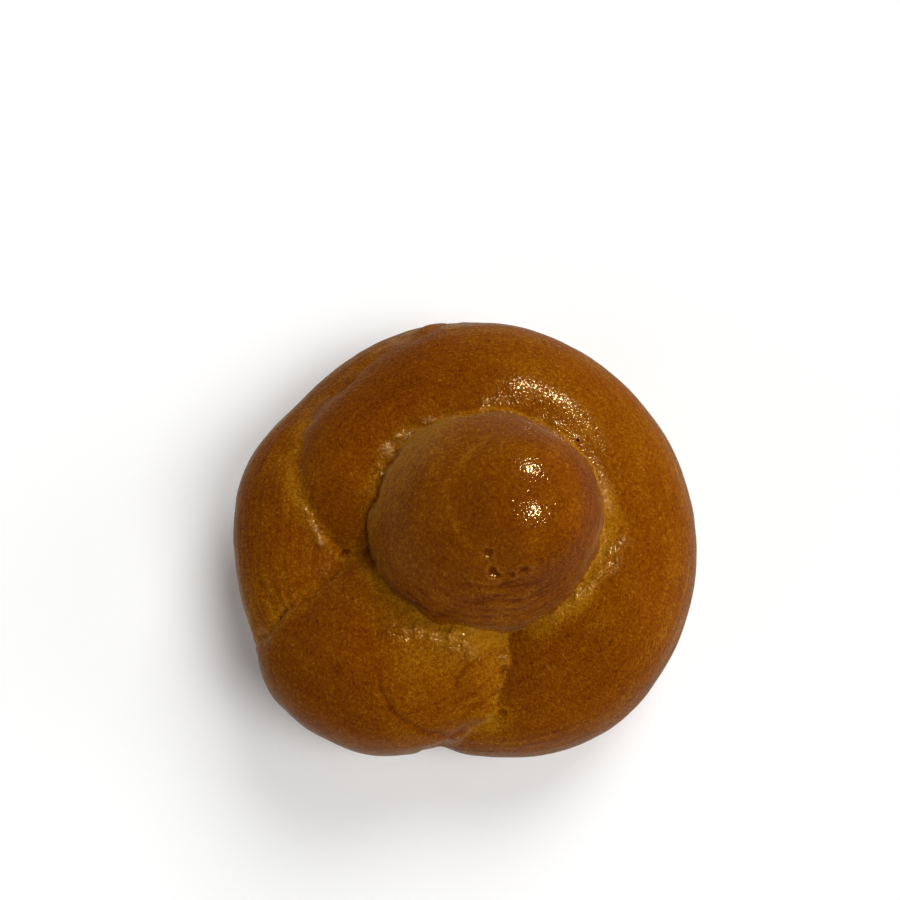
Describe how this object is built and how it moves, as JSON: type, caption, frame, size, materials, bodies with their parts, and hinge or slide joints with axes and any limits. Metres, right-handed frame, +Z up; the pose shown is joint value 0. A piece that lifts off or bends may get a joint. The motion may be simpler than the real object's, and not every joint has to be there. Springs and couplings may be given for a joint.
{
  "type": "challah knot roll",
  "caption": "Glossy brown egg-washed bread roll: a rope of dough coiled and knotted, its end standing up in the middle as a round knob, on a flat base.",
  "frame": {"origin": "on the flat base, in the middle of the footprint's box", "axes": "+Z up through the knob, +X towards the side the knob leans to, +Y towards the back, opposite the fold"},
  "size_m": [0.0974, 0.0924, 0.055],
  "materials": {
    "crust": "satin"
  },
  "bodies": {
    "root": {"knot_roll": "crust"}
  },
  "joints": []
}
